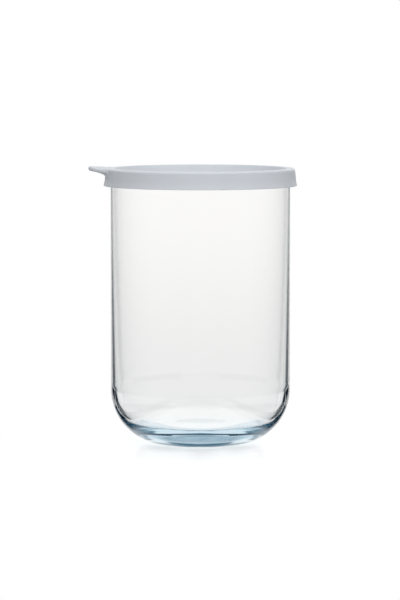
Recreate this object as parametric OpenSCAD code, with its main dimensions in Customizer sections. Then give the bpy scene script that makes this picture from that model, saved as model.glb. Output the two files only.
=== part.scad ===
// Glass yogurt jar with a press-on plastic lid.
// The origin is on the jar's axis, on the table it stands on. +Z is up, and the lid's pull tab points to -X.

/* [Jar] */
// Outside diameter of the straight wall
jar_d = 102; // [84:0.5:130]
// Height of the glass, from the table to the top of its rim
jar_h = 155.3; // [110:0.1:220]
// Outside radius of the round heel between the wall and the base
heel_r = 31; // [20:0.5:35]
// Thickness of the wall at the mouth
wall_top = 0.9; // [0.8:0.1:2.4]
// Thickness of the wall at the top of the inside corner, to which it grows with the square of the depth
wall_low = 2.5; // [1.8:0.1:4]
// Thickness of the base, from the foot up to the flat floor
base_t = 10.5; // [8:0.25:14]
// Width of the oval inside corner between the wall and the floor
hollow_w = 15; // [12:0.5:20]
// Height of that corner
hollow_h = 24.5; // [18:0.5:30]
// Width of the flat ring that the jar stands on
foot_w = 2; // [1.5:0.25:6]
// Depth of the gentle hollow under the base
punt_h = 0.7; // [0.3:0.1:4]

/* [Rim] */
// How far the bead round the rim stands out of the wall
bead_out = 1.5; // [0.8:0.1:1.9]
// Height of the bead, which ends flush with the top of the rim
bead_h = 4; // [3.8:0.1:6]
// Rounding of the rim's inner edge
rim_round = 0.4; // [0.1:0.05:0.6]

/* [Lid] */
// Thickness of the flat ring that rests on the rim
land_t = 1.5; // [1:0.1:3]
// Depth of the skirt below the top of the lid
skirt_h = 10; // [9.6:0.1:20]
// Thickness of the skirt
skirt_t = 1; // [0.8:0.1:2]
// How far the skirt leans out from its top to its lower edge
skirt_lean = 1; // [0.2:0.1:2]
// Height of the flare round the lower edge of the skirt
lip_h = 3; // [1:0.1:4]
// How far the flare stands out of the skirt at the lower edge
lip_out = 0.4; // [0.1:0.05:0.8]
// Rounding of the skirt's lower edge
lip_round = 0.3; // [0.1:0.05:0.35]
// Rounding of the lid's upper edge
edge_r = 1.4; // [0.4:0.1:1.8]
// Depth of the sunk panel below the top of the lid
panel_drop = 4.5; // [3.5:0.1:10]
// Thickness of the panel and of the sloping wall round it
panel_t = 1.3; // [0.8:0.1:2]
// How far the wall round the panel leans in from the rim to the panel's underside
plug_lean = 2.5; // [0.5:0.1:6]
// Rounding of the panel's corners
panel_round = 0.8; // [0.2:0.1:1.2]
// Height of the snap ridge inside the skirt
snap_h = 2; // [1.2:0.1:2.4]

/* [Pull tab] */
// How far the tab reaches out of the skirt
tab_len = 9.8; // [5:0.1:16]
// Width of the tab where it leaves the skirt
tab_w = 34; // [20:1:50]
// Thickness of the tab at its tip
tab_t = 2.4; // [1.6:0.1:3.2]
// Rounding of the tab's edge at its tip
tab_round = 1; // [0.3:0.05:1.15]
// Rise of the tab above the lid, just outside the skirt
tab_crest = 0.8; // [0.3:0.1:2]
// Further rise of the tab from there to its tip
tab_rise = 0.3; // [0:0.1:2]
// Slope of the tab's underside, in degrees
tab_slope = 11; // [4:1:24]
// Radius of the cove where the tab's underside runs into the skirt
tab_cove = 2.5; // [1.5:0.1:4]

/* [Fits] */
// Gap between the bead and the skirt
skirt_gap = 0.4; // [0.3:0.05:1]
// Gap between the bead and the snap ridge, with the skirt relaxed
snap_gap = 0.1; // [0.05:0.05:0.25]
// Gap between the mouth and the wall that goes into it
plug_gap = 0.3; // [0.15:0.05:1]

/* [Hidden] */
$fn = 128;
// Largest turn of one straight step along a rounded outline, in degrees
arc_step = 4;
// Steps down the inside of the wall
wall_steps = 16;
// Steps from the axis to the rim of the hollow under the base
punt_steps = 12;
// Steps across the tab's outline, seen from above
tab_steps = 40;

jar_r = jar_d / 2;
mouth_r = jar_r - wall_top;
bead_r = jar_r + bead_out;
bead_z = jar_h - bead_h / 2;
foot_r = jar_r - heel_r;
punt_r = foot_r - foot_w;

lid_top = jar_h + land_t;
skirt_z = lid_top - skirt_h;
lean_rate = skirt_lean / skirt_h;
snap_top = jar_h - bead_h;
snap_r = bead_r + snap_gap;
plug_r = mouth_r - plug_gap;
panel_z = lid_top - panel_drop;
plug_z = panel_z - panel_t;
plug_rate = plug_lean / (jar_h - plug_z);
slant = norm([1, plug_rate]);
recess_r = plug_r - panel_t * slant;

// Inner and outer radius of the leaning skirt at height z
function skirt_in(z) = bead_r + skirt_gap + (bead_z - z) * lean_rate;
function skirt_out(z) = skirt_in(z) + skirt_t;
// Outer and inner radius of the sloping wall that goes into the mouth, at height z
function plug_out(z) = plug_r - (jar_h - z) * plug_rate;
function plug_in(z) = recess_r - (jar_h - z) * plug_rate;

function unit(v) = v / norm(v);

// Points along an arc about c from angle a0 to a1, both ends included
function arc(c, r, a0, a1) =
    let (n = max(2, ceil(abs(a1 - a0) / arc_step)))
    [for (i = [0:n]) c + r * [cos(a0 + (a1 - a0) * i / n), sin(a0 + (a1 - a0) * i / n)]];

// Points of the corner p between a and b, rounded to radius r
function corner(a, p, b, r) =
    let (
        u = unit(a - p),
        v = unit(b - p),
        half = acos(u * v) / 2,
        c = p + unit(u + v) * r / sin(half),
        from = p + u * r / tan(half) - c,
        side = u[0] * v[1] - u[1] * v[0] > 0 ? -1 : 1,
        a0 = atan2(from[1], from[0])
    )
    arc(c, r, a0, a0 + side * (180 - 2 * half));

// Closed outline through points [r, z, rounding], with each rounded corner drawn as an arc
function outline(points) =
    let (n = len(points), at = [for (p = points) [p[0], p[1]]])
    [for (i = [0:n - 1])
        each points[i][2] > 0
            ? corner(at[(i + n - 1) % n], at[i], at[(i + 1) % n], points[i][2])
            : [at[i]]];

// Arc that bulges by h over the chord from p to q, to the right of the way from p to q
function bulge(p, q, h) =
    let (
        half = norm(q - p) / 2,
        r = (half * half + h * h) / (2 * h),
        out = unit([(q - p)[1], (p - q)[0]]),
        c = (p + q) / 2 + out * (h - r),
        a0 = atan2((p - c)[1], (p - c)[0]),
        sweep = 4 * atan(h / half)
    )
    arc(c, r, a0, a0 + sweep);

// The same points written as corners with no rounding
function plain(points) = [for (p = points) [p[0], p[1], 0]];

// Half of a gentle hollow of radius r and depth h, from the axis to its rim, level at both
function punt(r, h) =
    [for (i = [0:punt_steps])
        let (t = i / punt_steps)
        [r * t, h * (1 + cos(180 * t)) / 2]];

// Thickness of the wall at a share t of the way down from the rim to the top of the inside corner
function wall(t) = wall_top + (wall_low - wall_top) * t * t;

// Outline of the glass in the half plane of radius and height
function jar_outline() =
    let (
        floor_r = jar_r - wall_low - hollow_w,
        corner_z = base_t + hollow_h
    )
    outline(concat(
        plain(punt(punt_r, punt_h)),
        [[jar_r, 0, heel_r]],
        plain(bulge([jar_r, jar_h - bead_h], [jar_r, jar_h], bead_out)),
        [[mouth_r, jar_h, rim_round]],
        plain([for (i = [1:wall_steps - 1])
            let (t = i / wall_steps)
            [jar_r - wall(t), jar_h - (jar_h - corner_z) * t]]),
        plain([for (p = arc([0, 0], 1, 0, -90)) [floor_r + hollow_w * p[0], corner_z + hollow_h * p[1]]]),
        [[0, base_t, 0]]
    ));

// Blown jar with a heavy base, a round heel and a bead round its rim
module glass_jar() {
    color([0.86, 0.94, 0.96, 0.45])
    rotate_extrude()
    polygon(jar_outline());
}

// Outline of the lid's ring, skirt and sunk panel in the half plane of radius and height
function lid_outline() =
    outline(concat(
        [
            [0, plug_z, 0],
            [plug_out(plug_z), plug_z, panel_round],
            [plug_out(jar_h), jar_h, 0],
            [skirt_in(jar_h), jar_h, 0]
        ],
        plain(bulge(
            [skirt_in(snap_top), snap_top],
            [skirt_in(snap_top - snap_h), snap_top - snap_h],
            skirt_in(snap_top - snap_h / 2) - snap_r
        )),
        [
            [skirt_in(skirt_z), skirt_z, lip_round],
            [skirt_out(skirt_z) + lip_out, skirt_z, lip_round],
            [skirt_out(skirt_z + lip_h), skirt_z + lip_h, 0],
            [skirt_out(lid_top), lid_top, edge_r],
            [plug_in(lid_top), lid_top, panel_round],
            [plug_in(panel_z), panel_z, panel_round],
            [0, panel_z, 0]
        ]
    ));

// Outline of the tab's section, from the middle of the skirt's wall out to the tip
function tab_outline() =
    let (
        tip_r = skirt_out(jar_h) + tab_len,
        crest_r = skirt_out(lid_top) + edge_r / 2,
        crest_z = lid_top + tab_crest,
        tip_z = crest_z + tab_rise,
        under = tip_z - tab_t,
        root_z = under - tab_len * tan(tab_slope),
        low_z = root_z - tab_cove,
        core = skirt_t / 2
    )
    outline([
        [skirt_out(lid_top) - edge_r, lid_top, 0],
        [crest_r, crest_z, tab_cove],
        [tip_r, tip_z, tab_round],
        [tip_r, under, tab_round],
        [skirt_out(root_z), root_z, tab_cove],
        [skirt_out(low_z), low_z, 0],
        [skirt_out(low_z) - core, low_z, 0],
        [skirt_out(jar_h) - core, jar_h, 0],
        [skirt_out(lid_top) - edge_r, lid_top - land_t / 2, 0]
    ]);

// Outline of the tab seen from above: a smooth bump on the circle of the skirt
function tab_plan() =
    let (
        base_r = skirt_out(jar_h),
        half = asin(tab_w / 2 / base_r)
    )
    concat([[0, 0]], [for (i = [-tab_steps / 2:tab_steps / 2])
        let (
            a = half * 2 * i / tab_steps,
            r = base_r + tab_len * (1 + cos(180 * 2 * i / tab_steps)) / 2
        )
        r * [-cos(a), -sin(a)]]);

// Soft lid that snaps over the rim, with a sunk panel and a tab to peel it off by
module snap_lid() {
    color([0.76, 0.78, 0.81])
    union() {
        rotate_extrude()
        polygon(lid_outline());
        intersection() {
            rotate_extrude()
            polygon(tab_outline());
            translate([0, 0, skirt_z])
            linear_extrude(skirt_h + tab_crest + tab_rise + land_t)
            polygon(tab_plan());
        }
    }
}

glass_jar();
snap_lid();
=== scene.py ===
"""Looks of a glass yogurt jar with a press-on lid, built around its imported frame."""
import math

import bpy
import numpy as np
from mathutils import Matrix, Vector


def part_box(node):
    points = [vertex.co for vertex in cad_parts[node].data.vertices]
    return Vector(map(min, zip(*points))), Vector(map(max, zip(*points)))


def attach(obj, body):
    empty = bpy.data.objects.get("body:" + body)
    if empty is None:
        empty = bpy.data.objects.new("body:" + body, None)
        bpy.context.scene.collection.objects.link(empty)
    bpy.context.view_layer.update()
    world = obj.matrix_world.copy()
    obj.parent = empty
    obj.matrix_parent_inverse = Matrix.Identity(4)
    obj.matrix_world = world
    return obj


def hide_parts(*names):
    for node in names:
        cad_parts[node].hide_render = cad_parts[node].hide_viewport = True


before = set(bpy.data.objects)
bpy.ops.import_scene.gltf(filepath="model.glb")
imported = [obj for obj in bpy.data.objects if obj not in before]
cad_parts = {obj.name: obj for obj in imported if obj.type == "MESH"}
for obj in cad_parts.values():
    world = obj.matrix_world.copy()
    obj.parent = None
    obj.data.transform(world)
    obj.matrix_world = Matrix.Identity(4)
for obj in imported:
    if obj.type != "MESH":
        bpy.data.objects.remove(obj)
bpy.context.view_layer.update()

MM = 0.001

# Sizes that the frame gives
jar_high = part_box("glass_jar")[1]
lid_low, lid_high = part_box("snap_lid")
BEAD_R = jar_high.x
RIM_Z = jar_high.z
SKIRT_Z = lid_low.z
TAB_TIP_R = -lid_low.x
TAB_TIP_Z = lid_high.z

# Glass
JAR_R = 51 * MM
HEEL_R = 31 * MM
WALL_TOP = 0.9 * MM
WALL_LOW = 2.5 * MM
BASE_T = 10.5 * MM
HOLLOW_W = 15 * MM
HOLLOW_H = 24.5 * MM
FOOT_W = 2 * MM
PUNT_H = 0.7 * MM
BEAD_H = 4 * MM
BEAD_COVE = 0.5 * MM
RIM_ROUND = 0.4 * MM

# Lid
LAND_T = 1.5 * MM
SKIRT_T = 1 * MM
SKIRT_LEAN = 1 * MM
LIP_H = 3 * MM
LIP_OUT = 0.4 * MM
LIP_ROUND = 0.3 * MM
EDGE_R = 1.4 * MM
PANEL_DROP = 4.5 * MM
PANEL_T = 1.3 * MM
PLUG_LEAN = 2.5 * MM
PANEL_ROUND = 0.8 * MM
SNAP_H = 2 * MM
SKIRT_GAP = 0.4 * MM
SNAP_GAP = 0.1 * MM
PLUG_GAP = 0.3 * MM
LID_TOP = RIM_Z + LAND_T

# Pull tab
TAB_W = 34 * MM
TAB_T = 2.4 * MM
TAB_ROUND = 1 * MM
TAB_CREST = 0.8 * MM
TAB_SLOPE = math.radians(11)
TAB_COVE = 2.5 * MM

# Painted reflections, seen only in the glass: dark bands at the sides, the floor's far side, a blue ceiling, and
# lit screens, all painted
PAINTED_DARK = (0.005, 0.01, 0.016, 1)
PAINTED_DEEP_BLUE = (0.015, 0.06, 0.1, 1)
PAINTED_BLUE = (0.03, 0.16, 0.24, 1)
WHITE = (1, 1, 1, 1)

# The photo's view
SENSOR = 36
LENS = 180.6
EYE = Vector((-0.00023, -1.7067, 0.2267))
AIM = Vector((-0.00023, 0, 0.0817))

# Floor
FLOOR_R = 0.12
FLOOR_DROP = 0.2 * MM
FLOOR_SIDES = 96

# Steps of the surfaces
AROUND = 288
TAB_AROUND = 97
EDGE_STEPS = 72
WALL_STEPS = 48
PUNT_STEPS = 25
ARC_STEP = math.radians(2)
RING_STEP = 1.5 * MM
TINY_GAP = 1e-7


def arc(centre, radius, start, end):
    """Points centre + radius (cos a, sin a) for angles a from start to end, a small step apart."""
    count = max(3, math.ceil(abs(end - start) / ARC_STEP) + 1)
    a = np.linspace(start, end, count)
    return np.column_stack((centre[0] + radius * np.cos(a), centre[1] + radius * np.sin(a)))


def corner(before, point, after, radius):
    """The arc of that radius that touches both lines through a corner point."""
    before, point, after = (np.asarray(p[:2], float) for p in (before, point, after))
    u = (before - point) / np.linalg.norm(before - point)
    v = (after - point) / np.linalg.norm(after - point)
    half = math.acos(np.clip(u @ v, -1, 1)) / 2
    middle = (u + v) / np.linalg.norm(u + v)
    centre = point + middle * radius / math.sin(half)
    first = point + u * radius / math.tan(half) - centre
    side = -1 if u[0] * v[1] - u[1] * v[0] > 0 else 1
    start = math.atan2(first[1], first[0])
    return arc(centre, radius, start, start + side * (math.pi - 2 * half))


def outline(points):
    """A profile through (r, z, rounding) points, each rounded corner drawn as an arc."""
    runs = [np.array([points[0][:2]])]
    for before, point, after in zip(points, points[1:], points[2:]):
        rounded = len(point) > 2 and point[2] > 0
        runs.append(corner(before, point, after, point[2]) if rounded else np.array([point[:2]]))
    runs.append(np.array([points[-1][:2]]))
    return np.vstack(runs)


def bulge(p, q, h):
    """The arc over the chord from p to q that stands out by h to its right."""
    p, q = np.asarray(p, float), np.asarray(q, float)
    half = np.linalg.norm(q - p) / 2
    radius = (half * half + h * h) / (2 * h)
    out = np.array([(q - p)[1], (p - q)[0]]) / (2 * half)
    centre = (p + q) / 2 + out * (h - radius)
    start = math.atan2(*(p - centre)[::-1])
    return arc(centre, radius, start, start + 4 * math.atan(h / half))


def dense(profile):
    """The same profile with points added, so that no two are further apart than a ring step."""
    gaps = np.linalg.norm(np.diff(profile, axis=0), axis=1)
    runs = [
        np.linspace(p, q, max(1, math.ceil(gap / RING_STEP)), endpoint=False)
        for p, q, gap in zip(profile, profile[1:], gaps)
        if gap > TINY_GAP
    ]
    return np.vstack((*runs, profile[-1:]))


def surface(name, points):
    """A closed mesh from rings: points[i, j] is ring i at turn j. The first and last rings shrink to the axis."""
    rings, turns = points.shape[:2]
    inner = points[1:-1].reshape(-1, 3)
    poles = np.array([points[0].mean(axis=0), points[-1].mean(axis=0)])
    vertices = np.vstack((inner, poles))
    j = np.arange(turns)
    k = (j + 1) % turns
    i = np.arange(rings - 3)[:, None] * turns
    quads = np.stack((i + j, i + k, i + turns + k, i + turns + j), axis=-1).reshape(-1, 4)
    last = (rings - 3) * turns
    bottom = np.column_stack((np.full(turns, len(inner)), k, j))
    top = np.column_stack((np.full(turns, len(inner) + 1), last + j, last + k))
    mesh = bpy.data.meshes.new(name)
    mesh.from_pydata(vertices.tolist(), [], quads.tolist() + bottom.tolist() + top.tolist())
    mesh.polygons.foreach_set("use_smooth", np.ones(len(mesh.polygons), bool))
    mesh.update()
    piece = bpy.data.objects.new(name, mesh)
    bpy.context.scene.collection.objects.link(piece)
    return piece


def revolve(name, profile):
    """The profile (r, z) turned about the axis: (r cos a, r sin a, z)."""
    a = np.linspace(0, 2 * math.pi, AROUND, endpoint=False)
    profile = dense(profile)
    r, z = profile[:, :1], profile[:, 1:]
    return surface(name, np.stack((r * np.cos(a), r * np.sin(a), z + 0 * a), axis=-1))


def punt(radius):
    """The shallow hollow under the base, from the axis to its rim: z = height (1 + cos(pi r / radius)) / 2."""
    t = np.linspace(0, 1, PUNT_STEPS)
    return np.column_stack((radius * t, PUNT_H * (1 + np.cos(math.pi * t)) / 2))


def bead_profile():
    """The round bead on the rim, with a cove below it: the cove's ball touches both the wall and the bead."""
    out, half = BEAD_R - JAR_R, BEAD_H / 2
    radius = (half**2 + out**2) / (2 * out)
    middle = np.array([BEAD_R - radius, RIM_Z - half])
    drop = math.sqrt((radius + BEAD_COVE) ** 2 - (JAR_R + BEAD_COVE - middle[0]) ** 2)
    cove = np.array([JAR_R + BEAD_COVE, middle[1] - drop])
    meet = math.atan2(*(cove - middle)[::-1])
    return np.vstack((
        arc(cove, BEAD_COVE, math.pi, meet + math.pi),
        arc(middle, radius, meet, math.asin(half / radius))[1:],
    ))


def jar_profile():
    """The glass from the middle of the hollow under it, up the outside, over the rim and down to its floor.

    The wall thickens downwards as top + (low - top) t^2, and the inside corner is a quarter of an ellipse.
    """
    foot_r = JAR_R - HEEL_R
    mouth_r = JAR_R - WALL_TOP
    corner_z = BASE_T + HOLLOW_H
    floor_r = JAR_R - WALL_LOW - HOLLOW_W
    hollow = arc((0, 0), 1, 0, -math.pi / 2) * (HOLLOW_W, HOLLOW_H) + (floor_r, corner_z)
    down = np.linspace(0, 1, WALL_STEPS)[1:-1]
    wall = WALL_TOP + (WALL_LOW - WALL_TOP) * down**2
    inside = np.column_stack((JAR_R - wall, RIM_Z - (RIM_Z - corner_z) * down))
    return np.vstack((
        punt(foot_r - FOOT_W),
        corner((foot_r, 0), (JAR_R, 0), (JAR_R, RIM_Z), HEEL_R),
        bead_profile(),
        corner((JAR_R, RIM_Z), (mouth_r, RIM_Z), (mouth_r, corner_z), RIM_ROUND),
        inside,
        hollow,
        [(0, BASE_T)],
    ))


def skirt_in(z):
    """Inner radius of the leaning skirt at height z."""
    return BEAD_R + SKIRT_GAP + (RIM_Z - BEAD_H / 2 - z) * SKIRT_LEAN / (LID_TOP - SKIRT_Z)


def skirt_out(z):
    """Outer radius of the leaning skirt at height z."""
    return skirt_in(z) + SKIRT_T


def spread(points, count):
    """The same run of points, spaced evenly along its length."""
    far = np.concatenate(([0], np.cumsum(np.linalg.norm(np.diff(points, axis=0), axis=1))))
    at = np.linspace(0, far[-1], count)
    return np.column_stack((np.interp(at, far, points[:, 0]), np.interp(at, far, points[:, 1])))


def lid_runs():
    """The lid's profile as runs: the underside and skirt, the upper edge, that edge on the tab, and the top."""
    mouth_r = JAR_R - WALL_TOP
    plug_r = mouth_r - PLUG_GAP
    panel_z = LID_TOP - PANEL_DROP
    plug_z = panel_z - PANEL_T
    rate = PLUG_LEAN / (RIM_Z - plug_z)
    recess_r = plug_r - PANEL_T * math.hypot(1, rate)
    snap_top = RIM_Z - BEAD_H
    snap_low = snap_top - SNAP_H
    ridge = bulge(
        (skirt_in(snap_top), snap_top),
        (skirt_in(snap_low), snap_low),
        skirt_in((snap_top + snap_low) / 2) - BEAD_R - SNAP_GAP,
    )
    reach = TAB_TIP_R - skirt_out(RIM_Z)
    under = TAB_TIP_Z - TAB_T
    root_z = under - reach * math.tan(TAB_SLOPE)
    join_z = root_z - TAB_COVE
    land_r = skirt_out(LID_TOP) - EDGE_R
    below = np.vstack((
        outline([
            (0, plug_z),
            (plug_r - PLUG_LEAN, plug_z, PANEL_ROUND),
            (plug_r, RIM_Z),
            (skirt_in(RIM_Z), RIM_Z),
        ]),
        ridge,
        outline([
            ridge[-1],
            (skirt_in(SKIRT_Z), SKIRT_Z, LIP_ROUND),
            (skirt_out(SKIRT_Z) + LIP_OUT, SKIRT_Z, LIP_ROUND),
            (skirt_out(SKIRT_Z + LIP_H), SKIRT_Z + LIP_H),
        ])[1:],
    ))
    edge = outline([
        (skirt_out(join_z), join_z),
        (skirt_out(LID_TOP), LID_TOP, EDGE_R),
        (land_r - EDGE_R, LID_TOP),
    ])
    tab = outline([
        (skirt_out(join_z), join_z),
        (skirt_out(root_z), root_z, TAB_COVE),
        (TAB_TIP_R, under, TAB_ROUND),
        (TAB_TIP_R, TAB_TIP_Z, TAB_ROUND),
        (skirt_out(LID_TOP) + EDGE_R / 2, LID_TOP + TAB_CREST, TAB_COVE),
        (land_r, LID_TOP, TAB_COVE),
        (land_r - EDGE_R, LID_TOP),
    ])
    top = outline([
        edge[-1],
        (recess_r + (LID_TOP - RIM_Z) * rate, LID_TOP, PANEL_ROUND),
        (recess_r - (RIM_Z - panel_z) * rate, panel_z, PANEL_ROUND),
        (0, panel_z),
    ])
    return below, edge, tab, top


def lid_surface():
    """The lid: its profile turned about the axis.

    The upper edge swells into the tab as (1 + cos(pi a / half)) / 2, where a is the turn from the tab's middle.
    """
    below, edge, tab, top = lid_runs()
    edge, tab = spread(edge, EDGE_STEPS), spread(tab, EDGE_STEPS)
    half = math.asin(TAB_W / 2 / skirt_out(RIM_Z))
    fine = np.linspace(-half, half, TAB_AROUND)
    coarse = np.linspace(half, 2 * math.pi - half, AROUND - TAB_AROUND + 2)[1:-1]
    turn = np.concatenate((fine, coarse))
    swell = np.where(turn <= half, (1 + np.cos(math.pi * turn / half)) / 2, 0)
    below, top = dense(below), dense(top)
    profile = np.vstack((below, edge, top[1:]))
    shift = np.zeros_like(profile)
    shift[len(below):len(below) + EDGE_STEPS] = tab - edge
    rings = profile[:, None, :] + shift[:, None, :] * swell[None, :, None]
    r, z = rings[..., 0], rings[..., 1]
    a = math.pi + turn
    return surface("soft_lid", np.stack((r * np.cos(a), r * np.sin(a), z), axis=-1))


class Wire:
    """An output socket in a node tree. Arithmetic on wires adds Math nodes, and node() adds any other node."""

    def __init__(self, tree, socket=None):
        self.tree = tree
        self.socket = socket

    def node(self, kind, settings=None, inputs=None, output=0):
        """Adds a node of that type, with its settings first, then the values or links of its sockets."""
        made = self.tree.nodes.new("ShaderNode" + kind)
        for key, value in (settings or {}).items():
            setattr(made, key, value)
        for key, value in (inputs or {}).items():
            if isinstance(value, Wire):
                self.tree.links.new(value.socket, made.inputs[key])
            else:
                made.inputs[key].default_value = value
        return Wire(self.tree, made.outputs[output] if made.outputs else None)

    def math(self, operation, *values):
        """A Math node on numbers and wires."""
        return self.node("Math", {"operation": operation}, dict(enumerate(values)))

    def __add__(self, other):
        return self.math("ADD", self, other)

    def __radd__(self, other):
        return self.math("ADD", other, self)

    def __sub__(self, other):
        return self.math("SUBTRACT", self, other)

    def __rsub__(self, other):
        return self.math("SUBTRACT", other, self)

    def __mul__(self, other):
        return self.math("MULTIPLY", self, other)

    def __rmul__(self, other):
        return self.math("MULTIPLY", other, self)


def new_tree(owner):
    """An empty node tree of a material or a world, as a wire with no socket."""
    owner.use_nodes = True
    owner.node_tree.nodes.clear()
    return Wire(owner.node_tree)


def smooth(tree, value, low, high):
    """0 below low, 1 above high, and a smooth step between them."""
    return tree.node(
        "MapRange",
        {"interpolation_type": "SMOOTHSTEP"},
        {"Value": value, "From Min": low, "From Max": high},
    )


def mix_colour(tree, factor, a, b):
    """Colour a at factor 0 and b at 1."""
    return tree.node("Mix", {"data_type": "RGBA"}, {0: factor, 6: a, 7: b}, 2)


def clear_glass():
    """Clear pressed glass: faint draw lines and waves in the surface, and a blue tint where it is thick."""
    material = bpy.data.materials.new("clear_glass")
    tree = new_tree(material)
    place = tree.node("TexCoord", output="Object")
    drawn = tree.node("Mapping", None, {"Vector": place, "Scale": (1, 1, 0.12)})
    lines = tree.node("TexNoise", None, {"Vector": drawn, "Scale": 160, "Detail": 1})
    waves = tree.node("TexNoise", None, {"Vector": place, "Scale": 22, "Detail": 1})
    height = lines * 0.25 + waves
    bump = tree.node("Bump", None, {"Height": height, "Strength": 0.02, "Distance": 0.0006})
    smudge = tree.node("TexNoise", None, {"Vector": place, "Scale": 40, "Detail": 3})
    glass = tree.node("BsdfPrincipled", None, {
        "Base Color": (1, 0.995, 0.99, 1),
        "Roughness": 0.012 * smudge,
        "IOR": 1.52,
        "Transmission Weight": 1,
        "Normal": bump,
    })
    clear = tree.node("BsdfTransparent", None, {"Color": (0.9, 0.93, 0.94, 1)})
    shadow = tree.node("LightPath", output="Is Shadow Ray")
    skin = tree.node("MixShader", None, {0: shadow, 1: glass, 2: clear})
    tint = tree.node("VolumeAbsorption", None, {"Color": (0.25, 0.7, 0.93, 1), "Density": 5})
    tree.node("OutputMaterial", None, {"Surface": skin, "Volume": tint})
    return material


def lid_plastic():
    """Milky soft plastic: satin, faintly mottled, with a fine moulded grain."""
    material = bpy.data.materials.new("lid_plastic")
    tree = new_tree(material)
    place = tree.node("TexCoord", output="Object")
    mottle = tree.node("TexNoise", None, {"Vector": place, "Scale": 60, "Detail": 3})
    grain = tree.node("TexNoise", None, {"Vector": place, "Scale": 2600, "Detail": 2})
    colour = mix_colour(tree, mottle, (0.5, 0.525, 0.56, 1), (0.54, 0.565, 0.6, 1))
    bump = tree.node("Bump", None, {"Height": grain, "Strength": 0.15, "Distance": 0.0001})
    plastic = tree.node("BsdfPrincipled", None, {
        "Base Color": colour,
        "Roughness": 0.28 + 0.1 * mottle,
        "IOR": 1.5,
        "Subsurface Weight": 0.6,
        "Subsurface Radius": (1, 1, 1),
        "Subsurface Scale": 0.0015,
        "Normal": bump,
    })
    tree.node("OutputMaterial", None, {"Surface": plastic})
    return material


def looks(tree):
    """Two masks: 1 on rays straight from the camera, and 1 on rays off gloss or through glass."""
    camera = tree.node("LightPath", output="Is Camera Ray")
    glossy = tree.node("LightPath", output="Is Glossy Ray")
    through = tree.node("LightPath", output="Is Transmission Ray")
    return camera, tree.math("MAXIMUM", glossy, through)


def turned(tree, angle, low, high):
    """A smooth step of an angle, with its ends in degrees."""
    return smooth(tree, angle, math.radians(low), math.radians(high))


def window(tree, angle, a, b, c, d):
    """1 between b and c degrees, and 0 below a and above d."""
    return turned(tree, angle, a, b) * (1 - turned(tree, angle, c, d))


def ray_kinds(tree):
    """Masks of five kinds of rays that leave the glass.

    The first three share all rays: straight through with no bounce, guided along inside one wall, and mirrored or
    bounced on the way through more walls. The other two are rays with three bounces, and with more.
    """
    bounces = tree.node("LightPath", output="Glossy Depth")
    passes = tree.node("LightPath", output="Transmission Depth")
    bounced = tree.math("GREATER_THAN", bounces, 0.5)
    one_wall = tree.math("COMPARE", passes, 2, 0.5)
    third = tree.math("COMPARE", bounces, 3, 0.5)
    long = tree.math("GREATER_THAN", bounces, 3.5)
    return 1 - bounced, bounced * one_wall, bounced * (1 - one_wall), third, long


def floor_painted_in_glass(tree, x, y, away):
    """How white glass shows the floor, and its colour where it isn't white: a painted floor, seen only in
    reflections and refractions.

    Straight through, the floor is white, with painted shade that dims it away from the jar. Guided rays find a
    painted shadow close by on each side and a narrow painted dark stripe further out, which both lean outwards to
    the back. Of these, rays with three bounces find only the middle dark, and rays with more find it dark all
    over. Mirrored rays find a painted shadow under the front of the foot and painted dark beyond each side.
    """
    straight, guided, mirrored, third, long = ray_kinds(tree)
    across = tree.math("ABSOLUTE", x)
    back = tree.math("MAXIMUM", y, 0)
    # Painted shade: the floor straight through the glass is dimmer away from the jar
    plain = 1 - 0.13 * smooth(tree, away, 0.04, 0.09)
    # Painted shadow on the floor close beside the foot, seen only by guided rays
    painted_shadow_strip = smooth(tree, across, 0.038, 0.044) * (1 - smooth(tree, across - 0.28 * back, 0.05, 0.055))
    painted_shadow_strip = painted_shadow_strip * smooth(tree, y, 0.008, 0.02)
    aside = across - 0.37 * back
    # Painted dark stripe further out, seen only by guided rays
    stripe = smooth(tree, aside, 0.051, 0.054) * (1 - smooth(tree, aside, 0.066, 0.07))
    sides = smooth(tree, across, 0.005, 0.01)
    open_floor = (1 - third) * (1 - tree.math("MAXIMUM", painted_shadow_strip, stripe)) + third * sides
    # clear is 1 away from the painted shadow under the front of the foot; beyond is the painted dark past each
    # side
    clear = tree.math("MAXIMUM", smooth(tree, y, -0.032, -0.02), smooth(tree, away, 0.04, 0.055))
    beyond = smooth(tree, across - 0.42 * back, 0.042, 0.05)
    pale = straight * plain + guided * (1 - long) * open_floor
    pale = pale + mirrored * (0.1 + 0.8 * clear) * (1 - beyond)
    return pale, mix_colour(tree, long, mix_colour(tree, third, PAINTED_DARK, PAINTED_BLUE), PAINTED_DEEP_BLUE)


def pale_floor():
    """Pale studio floor: matt with a faint gloss, which fades to plain white away from the jar, and which shows
    the glass a painted floor with painted shadow and painted dark bands.
    """
    material = bpy.data.materials.new("pale_floor")
    tree = new_tree(material)
    place = tree.node("TexCoord", output="Object")
    split = tree.node("SeparateXYZ", None, {0: place}).socket.node.outputs
    x, y = (Wire(tree.tree, split[axis]) for axis in "XY")
    away = tree.node("VectorMath", {"operation": "LENGTH"}, {0: place}, "Value")
    matt = tree.node("BsdfPrincipled", None, {
        "Base Color": (0.7, 0.7, 0.7, 1),
        "Roughness": 0.25,
        "Specular IOR Level": 0.2,
        "Emission Color": WHITE,
        "Emission Strength": 0.35,
    })
    camera, glassy = looks(tree)
    pale, unlit = floor_painted_in_glass(tree, x, y, away)
    # Plain white for the camera far from the jar, and the painted floor for rays off or through glass
    white = tree.node("Emission", None, {
        "Color": mix_colour(tree, tree.math("MAXIMUM", camera, pale), unlit, WHITE),
        "Strength": 1,
    })
    far = smooth(tree, away, 0.06, 0.115)
    skin = tree.node("MixShader", None, {0: tree.math("MAXIMUM", far * camera, glassy), 1: matt, 2: white})
    tree.node("OutputMaterial", None, {"Surface": skin})
    return material


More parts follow.
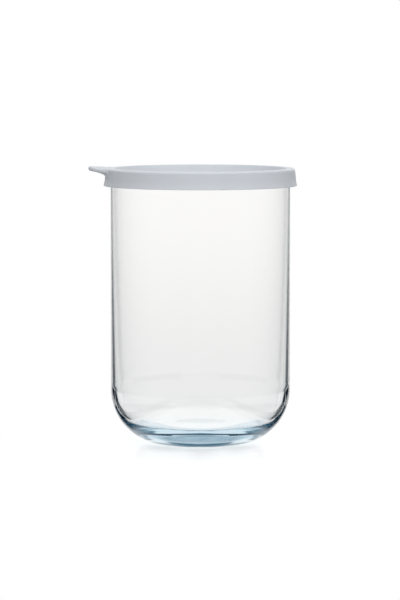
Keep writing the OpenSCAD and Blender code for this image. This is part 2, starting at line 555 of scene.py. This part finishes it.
def room_painted_in_glass(tree, turn, z):
    """How white glass shows the room in a direction, and its colour where it isn't white: a painted room, seen
    only in reflections and refractions.

    turn is the angle away from straight behind the jar, to either side, and z is the sine of the height. Straight
    through there is a painted backdrop, white and dimmer low down. Below the horizon, guided rays find it with a
    painted dark band on each side. Above, they find a painted bright screen that widens upwards, a painted dark
    gap over its middle, and a pale painted ceiling. Of these, rays with three bounces find only a pale band low
    on each side, and rays with more find it dark up to the screen. Mirrored rays find painted dark bands further
    out, and painted grey walls beyond them.
    """
    straight, guided, mirrored, third, long = ray_kinds(tree)
    above = smooth(tree, z, -0.02, 0.04)
    side = turned(tree, turn, 22, 34)
    front = turned(tree, turn, 30, 120)
    # Painted backdrop for rays straight through the glass, dimmer low down, though the camera sees it white
    backdrop = 0.86 + 0.14 * smooth(tree, z, -0.15, -0.05)
    dark = (1 - 0.35 * smooth(tree, z, -0.125, -0.07)) * (1 - above)
    # Painted dark bands on each side below the horizon, seen only in the glass
    painted_dark_bands = dark * window(tree, turn + (z + 0.15), 15, 22, 27, 33)
    low = (1 - painted_dark_bands) * (1 - 0.65 * side) * (1 - third) + third * window(tree, turn, 12, 18, 26, 34)
    # Painted dark gap and painted bright screen above, seen only in the glass
    gap = smooth(tree, z, 0.4, 0.5) * (1 - turned(tree, turn, 8, 15))
    wide = turn - math.radians(20) * smooth(tree, z, 0.36, 0.46)
    screen = (1 - turned(tree, wide, 31, 39)) * (1 - gap)
    overhead = 0.9 * smooth(tree, z, 0.68, 0.78)
    risen = above * (1 - long) + long * smooth(tree, z + 0.35 * turn, 0.09, 0.15)
    along = low * (1 - long) * (1 - above) + tree.math("MAXIMUM", screen, overhead) * risen
    # Painted dark bands further out and painted grey walls, seen only by mirrored rays
    painted_outer_bands = dark * window(tree, turn + 1.9 * (z + 0.12), 19, 27, 36, 42)
    walls = (1 - painted_outer_bands) * (1 - side * (0.5 - 0.45 * front))
    unlit = mix_colour(tree, tree.math("MAXIMUM", above * (1 - front), third), PAINTED_DARK, PAINTED_BLUE)
    unlit = mix_colour(tree, long * (1 - above), unlit, PAINTED_DEEP_BLUE)
    return straight * backdrop + guided * along + mirrored * walls, unlit


def studio_world():
    """White to the camera, a painted room in the reflections and refractions of the glass, and for matt surfaces
    soft light that is stronger from the front and above.
    """
    world = bpy.data.worlds.new("studio")
    bpy.context.scene.world = world
    tree = new_tree(world)
    ray = tree.node("TexCoord", output="Generated")
    split = tree.node("SeparateXYZ", None, {0: ray}).socket.node.outputs
    x, y, z = (Wire(tree.tree, split[axis]) for axis in "XYZ")
    camera, glassy = looks(tree)
    pale, unlit = room_painted_in_glass(tree, tree.math("ABSOLUTE", tree.math("ARCTAN2", x, y)), z)
    seen = tree.math("MAXIMUM", camera, glassy)
    soft = 0.5 - 0.3 * y + 0.35 * z
    light = tree.node("Background", None, {
        # Glass rays get the painted room's colours; the camera gets white
        "Color": mix_colour(tree, 1 - glassy * (1 - pale), unlit, WHITE),
        "Strength": seen + (1 - seen) * soft,
    })
    tree.node("OutputWorld", None, {"Surface": light})


def lamp(name, place, target, size, watts):
    """A square soft lamp that faces its target."""
    light = bpy.data.lights.new(name, "AREA")
    light.size = size
    light.energy = watts
    made = bpy.data.objects.new(name, light)
    made.location = place
    made.rotation_euler = (Vector(target) - Vector(place)).to_track_quat("-Z", "Y").to_euler()
    bpy.context.scene.collection.objects.link(made)
    made.visible_glossy = False
    made.visible_transmission = False


def camera():
    """The photo's view: from the front, a little above, through a long lens."""
    data = bpy.data.cameras.new("camera")
    data.sensor_width = SENSOR
    data.lens = LENS
    eye = bpy.data.objects.new("camera", data)
    eye.location = EYE
    eye.rotation_euler = (AIM - EYE).to_track_quat("-Z", "Y").to_euler()
    bpy.context.scene.collection.objects.link(eye)
    bpy.context.scene.camera = eye


def floor():
    """A round floor under the jar: the polygon (cos a, sin a) times its radius."""
    a = np.linspace(0, 2 * math.pi, FLOOR_SIDES, endpoint=False)
    rim = np.column_stack((np.cos(a), np.sin(a), 0 * a)) * FLOOR_R
    mesh = bpy.data.meshes.new("floor")
    mesh.from_pydata(rim.tolist(), [], [list(range(FLOOR_SIDES))])
    made = bpy.data.objects.new("floor", mesh)
    made.location.z = -FLOOR_DROP
    bpy.context.scene.collection.objects.link(made)
    mesh.materials.append(pale_floor())


camera()
studio_world()
floor()
lamp("key", place=(0.28, -1.15, 1.4), target=(0, 0, 0.1), size=0.9, watts=16)

jar = revolve("blown_jar", jar_profile())
jar.data.materials.append(clear_glass())
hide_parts("glass_jar")
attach(jar, "jar")

lid = lid_surface()
lid.data.materials.append(lid_plastic())
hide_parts("snap_lid")
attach(lid, "lid")

scene = bpy.context.scene
scene.view_settings.view_transform = "Standard"
scene.cycles.max_bounces = 64
scene.cycles.glossy_bounces = 64
scene.cycles.transmission_bounces = 24
